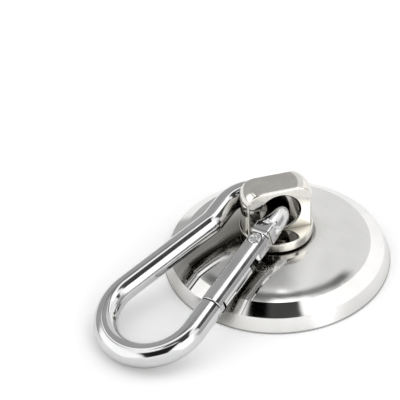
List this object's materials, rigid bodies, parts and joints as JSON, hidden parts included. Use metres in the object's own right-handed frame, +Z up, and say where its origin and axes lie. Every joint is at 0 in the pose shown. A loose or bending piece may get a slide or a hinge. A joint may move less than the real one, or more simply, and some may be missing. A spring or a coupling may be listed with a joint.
{
  "type": "magnet fishing magnet",
  "caption": "Round pot magnet with a swivelling flat-sided eye on its domed steel cup and a spring-gate snap hook through the eye",
  "frame": {"origin": "centre of the flat working face, on the plane that the magnet rests on", "axes": "+Z up through the swivel axis; the eye's flats face -Y and +Y and its bore runs along Y; at rest the snap hook lies towards -X and -Y"},
  "size_m": [0.0662, 0.0519, 0.0198],
  "materials": {
    "cup_plating": "bright nickel plate",
    "magnet_plating": "nickel-plated neodymium",
    "resin": "cast epoxy",
    "washer_bronze": "satin",
    "eye_plating": "bright nickel plate, slightly warm",
    "nut_steel": "zinc plate",
    "hook_steel": "polished steel wire",
    "gate_steel": "polished steel tube",
    "rivet_steel": "peened steel",
    "spring_steel": "drawn wire"
  },
  "bodies": {
    "base": {"cup_shell": "cup_plating", "magnet_ring": "magnet_plating", "potting_ring": "resin", "center_cover": "resin", "upper_washer": "washer_bronze", "lower_washer": "washer_bronze"},
    "swivel": {"swivel_eye": "eye_plating", "swivel_nut": "nut_steel"},
    "hook": {"hook_body": "hook_steel"},
    "gate": {"gate_tube": "gate_steel", "gate_rivet": "rivet_steel", "gate_spring": "spring_steel"},
    "plunger": {"gate_plunger": "rivet_steel"}
  },
  "joints": [
    {"name": "eye_swivel", "type": "hinge", "parent": "base", "child": "swivel", "pos_m": [0, 0, 0.0074], "axis": [0, 0, 1], "continuous": true},
    {"name": "hook_pivot", "type": "hinge", "parent": "swivel", "child": "hook", "pos_m": [0, 0, 0.0142], "axis": [0, 1, 0], "range_deg": [0, 205]},
    {"name": "gate_hinge", "type": "hinge", "parent": "hook", "child": "gate", "pos_m": [-0.00652, -0.00854, 0.01167], "axis": [0.2364, 0.1053, -0.9659], "range_deg": [0, 25], "stiffness_Nm_per_rad": 0.1, "springref_deg": -28.65},
    {"name": "plunger_slide", "type": "slide", "parent": "gate", "child": "plunger", "axis": [-0.7362, -0.6294, -0.2488], "range_m": [0, 0.00036], "deforming": ["gate_spring"]}
  ],
  "couplings": [
    {"joint": "plunger_slide", "follows": "gate_hinge", "m_per_rad": 0.000802}
  ]
}
